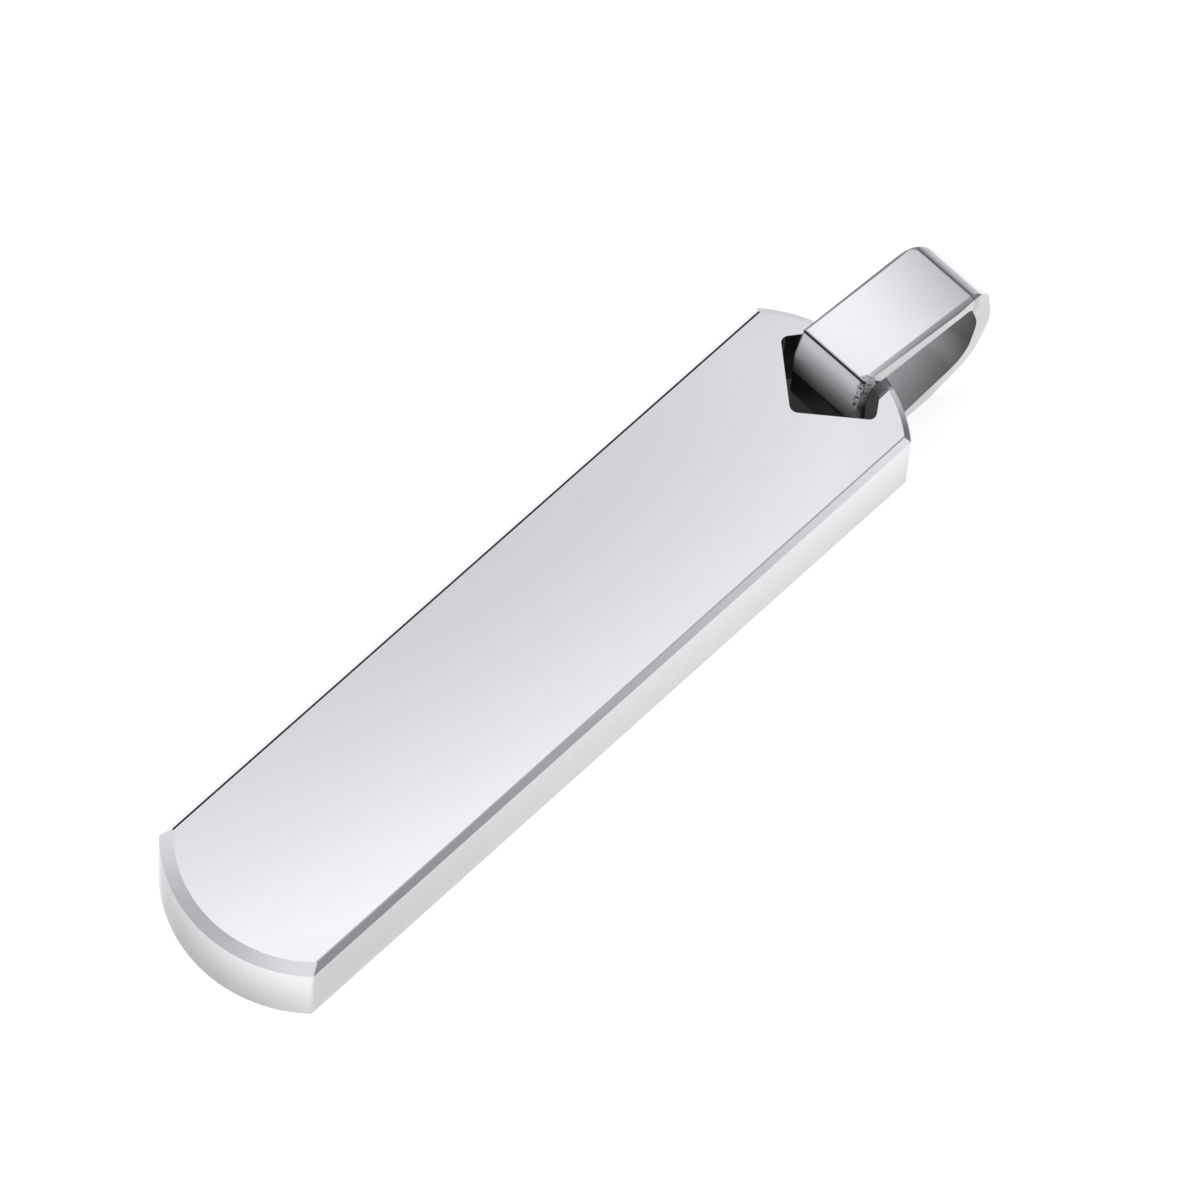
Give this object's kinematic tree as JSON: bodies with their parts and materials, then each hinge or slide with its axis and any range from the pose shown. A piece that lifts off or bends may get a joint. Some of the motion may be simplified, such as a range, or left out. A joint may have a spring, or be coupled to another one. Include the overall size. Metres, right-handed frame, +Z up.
{
  "type": "bar pendant",
  "caption": "Thick polished bar pendant with arched ends, and a bent bail that swings through a shield-shaped hole at its top end.",
  "frame": {"origin": "centre of the pendant's box on the surface that it lies on", "axes": "+Y from the bar's bottom end towards its bail, +Z up from the surface, so the bar's front faces up, +X to the right as seen from the front with the bail at the top"},
  "size_m": [0.0104, 0.052, 0.0078],
  "materials": {
    "bar_steel": "mirror polished stainless steel",
    "bail_steel": "mirror polished stainless steel"
  },
  "bodies": {
    "bar": {"bar": "bar_steel"},
    "bail": {"bail": "bail_steel"}
  },
  "joints": [
    {"name": "bail_swing", "type": "hinge", "parent": "bar", "child": "bail", "pos_m": [0, 0.01904, 0.003], "axis": [1, 0, 0], "range_deg": [0, 10]}
  ]
}
